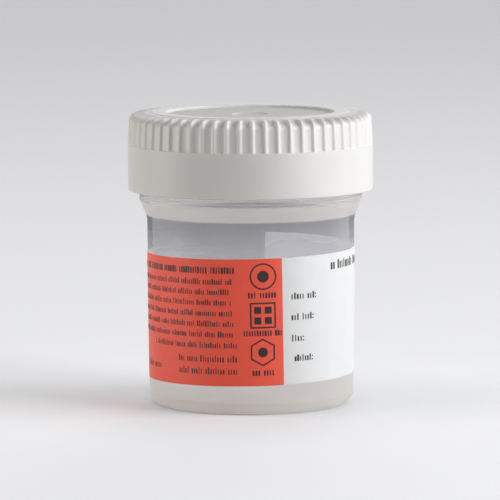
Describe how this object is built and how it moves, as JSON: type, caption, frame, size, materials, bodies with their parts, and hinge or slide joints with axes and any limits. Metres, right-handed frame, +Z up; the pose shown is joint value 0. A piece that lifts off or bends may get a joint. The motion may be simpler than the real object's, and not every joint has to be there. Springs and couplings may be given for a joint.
{
  "type": "specimen container",
  "caption": "Small round screw-top specimen container: translucent plastic jar, white ribbed screw cap with a sealing wad, and a red and white wrap-round label.",
  "frame": {"origin": "centre of the foot ring, on the surface that the container stands on", "axes": "+Z up the common axis of jar and cap; -Y is the front, where the red and the white field of the label meet"},
  "size_m": [0.053, 0.053, 0.0633],
  "materials": {
    "jar_plastic": "translucent natural polypropylene, softly glossy",
    "cap_plastic": "white moulded polypropylene, satin",
    "wad_foam": "white polyethylene foam",
    "label_paper": "coated paper, red field and white field"
  },
  "bodies": {
    "container": {"jar": "jar_plastic", "label": "label_paper"},
    "wad": {"sealing_wad": "wad_foam"},
    "cap": {"screw_cap": "cap_plastic"}
  },
  "joints": [
    {"name": "cap_lift", "type": "slide", "parent": "container", "child": "wad", "axis": [0, 0, 1], "range_m": [0, 0.01575]},
    {"name": "cap_turn", "type": "hinge", "parent": "wad", "child": "cap", "pos_m": [0, 0, 0.05], "axis": [0, 0, 1], "range_deg": [0, 810]}
  ],
  "couplings": [
    {"joint": "cap_lift", "follows": "cap_turn", "m_per_rad": 0.0011141}
  ]
}
